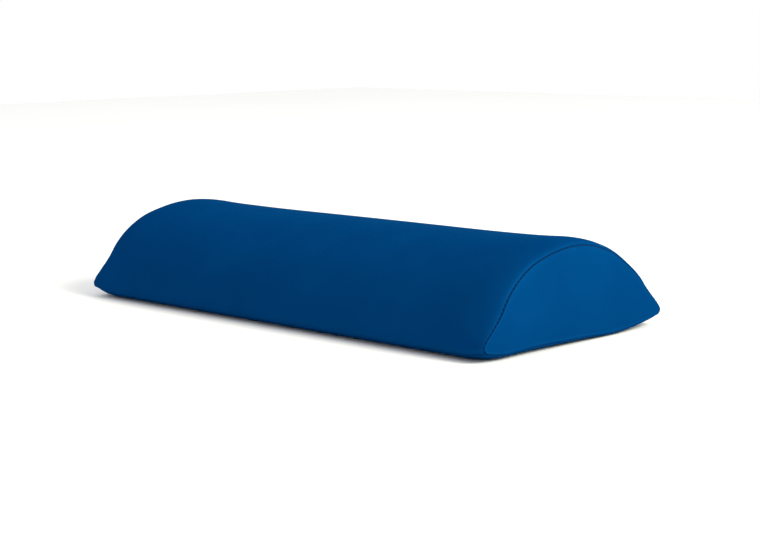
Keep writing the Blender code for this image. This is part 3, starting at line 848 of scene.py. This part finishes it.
def stitches(name, runs, material):
    """A row of separate stitches along each run, which is a path and its outward directions."""
    points, faces = [], []
    for path, up in runs:
        lengths = travelled(path)
        count = max(1, int(lengths[-1] // STITCH_PITCH))
        pitch = lengths[-1] / count
        for number in range(count):
            t = np.linspace(0, 1, STITCH_POINTS)
            places = (number + 0.5) * pitch + (t - 0.5) * STITCH_LENGTH
            centre = read_off(path, lengths, places)
            above = read_off(up, lengths, places)
            centre = centre - unit(above) * (STITCH_DIP * (2 * t - 1) ** 4)[:, None]
            tube(centre, unit(above), THREAD, points, faces)
    return make_object(name, points, faces, material)


def seam_run(seam):
    outward = -seam.inward
    return seam.points - outward * SEAM_THREAD_DEPTH, outward


def make_threads(material):
    """The thread seen in the seams, and the two rows beside the zip, by the frame's nodes."""
    pieces = {}
    for side, word in ((-1, "left"), (1, "right")):
        arch = np.linspace(ROLL, ARCH_LENGTH - ROLL, 160)
        foot = np.linspace(ROLL, BASE_WIDTH - ROLL, 120)
        upper, _ = end_seam(side, wrap_surface, UPPER_SIGN)(arch)
        lower, _ = end_seam(side, lower_surface, LOWER_SIGN)(foot)
        pieces[word + "_end_seam_thread"] = stitches(
            "thread_" + word + "_end", [seam_run(upper), seam_run(lower)], material)
        x = side * np.linspace(WINDOW_END + WINDOW_TAPER, SEAM_X - THREAD_STOP, 12)
        closed, _ = zip_hem(upper_surface, ZIP_ALONG)(x)
        pieces[word + "_rear_seam_thread"] = stitches(
            "thread_" + word + "_rear", [seam_run(closed)], material)
    x = np.linspace(-SEAM_X + THREAD_STOP, SEAM_X - THREAD_STOP, 120)
    pieces["front_seam_thread"] = stitches("thread_front", [seam_run(front_seam(x)[0])], material)
    x = np.linspace(-WINDOW_END, WINDOW_END, 90)
    for word, offset in (("upper", -1), ("lower", 1)):
        path = wrap_surface(np.full_like(x, ZIP_ALONG + offset * STITCH_ROW), x)
        lifted = path + np.array(FLANK_OUT) * TOPSTITCH_LIFT
        node = "zip_" + word + "_stitching"
        pieces[node] = stitches("topstitch_" + word, [(lifted, flat_normal(x))], material)
    return pieces


# ---- the zip: woven tapes and nylon coils ----

COIL_PITCH = 1.5 * MM
COIL_WIRE = 0.36 * MM
COIL_STEPS = 12
COIL_SIDEWAYS = np.array([1.0, 0.3, 0.2])
TAPE_LEVEL = 4.0 * MM           # a tape is level this far out from the zip's middle
TAPE_PAST_END = 3 * MM
TAPE_EDGE = 0.1 * MM            # its edges are this much lower


def coil(name, node, phase, material):
    """A wire wound along the node's box. The phase sets where along it the loops come round."""
    low, high = zip_extent(node)
    middle, half = (low + high) / 2, (high - low) / 2 - COIL_WIRE
    turns = int((high[0] - low[0]) / COIL_PITCH)
    angle = np.linspace(0, turns * 2 * math.pi, turns * COIL_STEPS + 1)
    reach = low[0] + (high[0] - low[0]) * angle / angle[-1]
    inner = -1 if middle[1] > 0 else 1
    path = on_zip(reach, middle[1] + inner * half[1] * np.cos(angle + phase),
                  middle[2] + half[2] * np.sin(angle + phase))
    points, faces = [], []
    tube(path, np.broadcast_to(COIL_SIDEWAYS, path.shape), COIL_WIRE, points, faces)
    return make_object(name, points, faces, material)


def slack(x, up):
    """How far the filled cover lies inside the plain flank, beside the zip."""
    x, up = np.broadcast_arrays(x, up)
    cover = wrap_form(ARCH_LENGTH - ZIP_MIDDLE - up, x)
    out = (cover - on_zip(x, up, np.zeros_like(up))) @ np.array(FLANK_OUT)
    return np.minimum(out, 0) * smooth((np.abs(up) - TAPE_LEVEL) / TAPE_LEVEL)


def tape(name, node, material):
    """A woven tape with rounded edges, which follows the cover that it is sewn to."""
    low, high = zip_extent(node)
    low[0], high[0] = -WINDOW_END - TAPE_PAST_END, WINDOW_END + TAPE_PAST_END
    x = np.linspace(low[0], high[0], 240)
    up = np.linspace(low[1], high[1], 24)
    rounded = 1 - (2 * (up - low[1]) / (high[1] - low[1]) - 1) ** 16
    out = (high[2] - TAPE_EDGE + TAPE_EDGE * rounded)[:, None] + slack(x[None, :], up[:, None])
    top = on_zip(x[None, :], up[:, None], out)
    plain = np.zeros(top.shape[:2])
    piece = grid_object(name, (top, plain, plain), False, material)
    thicken(piece, high[2] - low[2])
    return piece


# ---- finishes ----

class Finish:
    """A material on the Principled shader, with short calls for its nodes."""

    def __init__(self, name, roughness, **settings):
        self.material = bpy.data.materials.new(name)
        self.material.use_nodes = True
        self.tree = self.material.node_tree
        self.shader = self.tree.nodes["Principled BSDF"]
        self.set(self.shader, {"Roughness": roughness, **settings})
        self.place = self.add("ShaderNodeTexCoord").outputs["Object"]
        self.normal = None

    def set(self, node, inputs):
        for key, value in inputs.items():
            socket = node.inputs[key]
            if isinstance(value, bpy.types.NodeSocket):
                self.tree.links.new(value, socket)
            else:
                socket.default_value = value

    def add(self, kind, settings=(), **inputs):
        node = self.tree.nodes.new(kind)
        for key, value in dict(settings).items():
            setattr(node, key, value)
        self.set(node, {key.replace("_", " "): value for key, value in inputs.items()})
        return node

    def stretched(self, scale):
        node = self.add("ShaderNodeMapping", Vector=self.place)
        node.inputs["Scale"].default_value = scale
        return node.outputs["Vector"]

    def noise(self, size, detail=2.0, roughness=0.5, vector=None):
        """Noise whose features are about size across."""
        node = self.add("ShaderNodeTexNoise", Vector=vector or self.place, Scale=1 / size, Detail=detail,
                        Roughness=roughness)
        return node.outputs["Fac"]

    def cells(self, size, feature="DISTANCE_TO_EDGE"):
        node = self.add("ShaderNodeTexVoronoi", {"feature": feature}, Vector=self.place, Scale=1 / size)
        return node.outputs["Distance"]

    def attribute(self, name):
        return self.add("ShaderNodeAttribute", {"attribute_name": name}).outputs["Fac"]

    def math(self, operation, first, second):
        node = self.add("ShaderNodeMath", {"operation": operation})
        self.set(node, {0: first, 1: second})
        return node.outputs[0]

    def span(self, value, low, high, from_low=0.0, from_high=1.0):
        """The value carried from one range to another, and kept inside it."""
        node = self.add("ShaderNodeMapRange", {"clamp": True}, Value=value, From_Min=from_low,
                        From_Max=from_high, To_Min=low, To_Max=high)
        return node.outputs["Result"]

    def mix(self, share, first, second):
        node = self.add("ShaderNodeMix", {"data_type": "RGBA"})
        self.set(node, {0: share, 6: first, 7: second})
        return node.outputs[2]

    def bump(self, height, distance, strength):
        """Adds relief of that height in metres on top of what is there."""
        node = self.add("ShaderNodeBump", Height=height, Distance=distance, Strength=strength)
        if self.normal:
            self.set(node, {"Normal": self.normal})
        self.normal = node.outputs["Normal"]
        self.set(self.shader, {"Normal": self.normal})

    def use(self, **outputs):
        self.set(self.shader, {key.replace("_", " "): value for key, value in outputs.items()})
        return self.material


def colour(red, green, blue):
    return (red, green, blue, 1.0)


BLUE = colour(0.0003, 0.038, 0.140)
BLUE_DEEP = colour(0.0002, 0.034, 0.128)
BLUE_WORN = colour(0.0015, 0.055, 0.185)
# painted shade for deep in the seam folds, also used for the darker lines of the grain
BLUE_SEAM_SHADE_AND_GRAIN = colour(0.0002, 0.012, 0.05)
SHEEN_BLUE = colour(0.0, 0.55, 1.0)
GRAIN = 0.75 * MM


def leatherette():
    """Coated fabric: a fine pebble grain, broad slight mottling, puckers and rubbed folds at the seams,
    with painted shade deep in the seam folds.
    """
    finish = Finish("leatherette_blue", 0.45,
                    **{"Specular IOR Level": 0.0, "Specular Tint": SHEEN_BLUE, "Metallic": 0.2})
    fold, near = finish.attribute("fold"), finish.attribute("near_seam")
    broad = finish.noise(45 * MM, 3)
    tone = finish.mix(finish.span(broad, 0, 1, 0.35, 0.65), BLUE_DEEP, BLUE)
    ridge = finish.math("MULTIPLY", near, finish.span(fold, 1, 0, 0.0, 0.7))
    rubbed = finish.math("MULTIPLY", finish.span(ridge, 0, 0.45, 0.45, 1.0), finish.noise(9 * MM, 4))
    tone = finish.mix(rubbed, tone, BLUE_WORN)
    grooves = finish.span(finish.cells(GRAIN), 0.14, 0.0, 0.0, 0.12)
    # darker lines of the grain, and painted shade deep in each seam's fold
    seam_shade_and_grain_lines = finish.math("MAXIMUM", finish.span(fold, 0.0, 0.45, 0.35, 1.0), grooves)
    tone = finish.mix(seam_shade_and_grain_lines, tone, BLUE_SEAM_SHADE_AND_GRAIN)
    puckers = finish.math("MULTIPLY", finish.noise(4.5 * MM, 2), near)
    finish.bump(puckers, 0.35 * MM, 0.5)
    finish.bump(finish.noise(16 * MM, 3), 0.12 * MM, 0.35)
    finish.bump(finish.span(finish.cells(GRAIN), 0, 1, 0.0, 0.22), 0.035 * MM, 0.5)
    gloss = finish.span(finish.noise(3 * MM, 5), 0.41, 0.52, 0.3, 0.7)
    return finish.use(Base_Color=tone, Roughness=gloss)


def thread():
    finish = Finish("thread_blue", 0.6, **{"Specular IOR Level": 0.1})
    twist = finish.add("ShaderNodeTexWave", {"bands_direction": "DIAGONAL"}, Vector=finish.place,
                       Scale=1 / (2.2 * MM), Distortion=0.6)
    finish.bump(twist.outputs["Fac"], 0.08 * MM, 0.8)
    tone = finish.mix(twist.outputs["Fac"], colour(0.0005, 0.018, 0.07), colour(0.001, 0.04, 0.14))
    return finish.use(Base_Color=tone)


def woven_tape():
    """Woven tape: fine ribs crossed by the weft."""
    finish = Finish("zip_tape_navy", 0.8, **{"Sheen Weight": 0.2})
    ribs = finish.add("ShaderNodeTexWave", {"bands_direction": "X"}, Vector=finish.place,
                      Scale=1 / (4.4 * MM), Distortion=1.2, Detail=1.0)
    weft = finish.add("ShaderNodeTexWave", {"bands_direction": "Z"}, Vector=finish.place,
                      Scale=1 / (3.6 * MM), Distortion=0.8)
    weave = finish.math("MULTIPLY", ribs.outputs["Fac"], weft.outputs["Fac"])
    tone = finish.mix(weave, colour(0.001, 0.016, 0.06), colour(0.004, 0.05, 0.15))
    finish.bump(weave, 0.12 * MM, 0.8)
    return finish.use(Base_Color=tone, Roughness=finish.span(finish.noise(2 * MM), 0.7, 0.9))


def nylon():
    finish = Finish("zip_coil_navy", 0.35)
    tone = finish.mix(finish.noise(5 * MM, 3), colour(0.001, 0.018, 0.07), colour(0.003, 0.035, 0.12))
    finish.bump(finish.noise(0.3 * MM, 2), 0.02 * MM, 0.4)
    return finish.use(Base_Color=tone, Roughness=finish.span(finish.noise(1.5 * MM), 0.28, 0.42))


def nickel():
    """Plated die-cast metal, a little rubbed and scratched."""
    finish = Finish("zip_nickel", 0.3, Metallic=1.0)
    streaks = finish.noise(0.5 * MM, 4, 0.6, finish.stretched((0.15, 1.0, 1.0)))
    worn = finish.noise(2.5 * MM, 4)
    tone = finish.mix(worn, colour(0.56, 0.55, 0.53), colour(0.70, 0.69, 0.67))
    finish.bump(streaks, 0.02 * MM, 0.35)
    return finish.use(Base_Color=tone, Roughness=finish.span(streaks, 0.22, 0.42, 0.3, 0.7))


def foam():
    finish = Finish("foam_cream", 0.95)
    pores = finish.cells(1.2 * MM, "F1")
    depth = finish.span(pores, 0, 1, 0.1, 0.6)
    tone = finish.mix(depth, colour(0.45, 0.38, 0.22), colour(0.78, 0.70, 0.46))
    finish.bump(pores, 0.4 * MM, 0.8)
    return finish.use(Base_Color=tone)


def studio_floor():
    finish = Finish("floor_white", 0.6)
    tone = finish.mix(finish.noise(400 * MM, 2), colour(0.86, 0.86, 0.86), colour(0.90, 0.90, 0.90))
    return finish.use(Base_Color=tone)


# ---- putting it together ----

def place(piece, node, slot, fill=None):
    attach(piece, "cushion")
    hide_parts(node)


for node, piece in make_panels(leatherette()).items():
    place(piece, node, "leatherette", fill=0.85)
place(make_core(foam()), "foam_core", "foam", fill=0.95)
bpy.data.objects.remove(CAGE)
for node, piece in make_threads(thread()).items():
    place(piece, node, "thread")
TAPE, NYLON, NICKEL = woven_tape(), nylon(), nickel()
for word, phase in (("upper", 0.0), ("lower", math.pi)):
    place(tape("tape_" + word, "zip_" + word + "_tape", TAPE), "zip_" + word + "_tape", "zip_tape")
    place(coil("coil_" + word, "zip_" + word + "_coil", phase, NYLON), "zip_" + word + "_coil", "zip_coil")

for node in ("zip_slider", "zip_pull", "zip_upper_top_stop", "zip_lower_top_stop", "zip_bottom_stop"):
    metal = frame["nodes"][node]
    metal.data.materials.clear()
    metal.data.materials.append(NICKEL)
    edges = metal.modifiers.new("edges", "BEVEL")
    edges.width = 0.15 * MM
    edges.segments = 2
    edges.limit_method = "ANGLE"


# ---- floor, lights and camera ----

FLOOR_HALF = 3
corners = [(x * FLOOR_HALF, y * FLOOR_HALF, 0) for x, y in ((-1, -1), (1, -1), (1, 1), (-1, 1))]
floor = make_object("floor", corners, [(0, 1, 2, 3)], studio_floor())


def area_light(name, place, target, size, power, tint):
    light = bpy.data.lights.new(name, "AREA")
    light.shape = "SQUARE"
    light.size = size
    light.energy = power
    light.color = tint
    lamp = bpy.data.objects.new(name, light)
    bpy.context.scene.collection.objects.link(lamp)
    lamp.location = place
    lamp.rotation_euler = (Vector(target) - Vector(place)).to_track_quat("-Z", "Y").to_euler()
    return lamp


KEY_PLACE = (2.34, 0.9, 1.65)
KEY_TARGET = (0, 0, 0.03)
KEY_SIZE = 1.4
KEY_POWER = 118
KEY_TINT = (1.0, 1.0, 0.82)
area_light("key", KEY_PLACE, KEY_TARGET, KEY_SIZE, KEY_POWER, KEY_TINT)
world = bpy.data.worlds.new("studio")
world.use_nodes = True
background = world.node_tree.nodes["Background"]
background.inputs["Color"].default_value = (1, 1, 1, 1)
background.inputs["Strength"].default_value = 1.0
bpy.context.scene.world = world
bpy.context.scene.view_settings.view_transform = "Standard"

AZIMUTH = math.radians(44.28)
ELEVATION = math.radians(8.81)
DISTANCE = 1.244
SENSOR = 36
PICTURE_WIDTH = 760
FOCAL = 1674                    # in pixels of that width
ROLL_ANGLE = math.radians(-0.45)
TARGET = Vector((0.0201, 0, 0.0242))
camera_data = bpy.data.cameras.new("camera")
camera_data.sensor_width = SENSOR
camera_data.lens = FOCAL * SENSOR / PICTURE_WIDTH
camera = bpy.data.objects.new("camera", camera_data)
bpy.context.scene.collection.objects.link(camera)
back = Vector((math.sin(AZIMUTH) * math.cos(ELEVATION), -math.cos(AZIMUTH) * math.cos(ELEVATION),
               math.sin(ELEVATION)))
camera.location = TARGET + back * DISTANCE
facing = back.to_track_quat("Z", "Y").to_matrix() @ Matrix.Rotation(ROLL_ANGLE, 3, "Z")
camera.rotation_euler = facing.to_euler()
bpy.context.scene.camera = camera
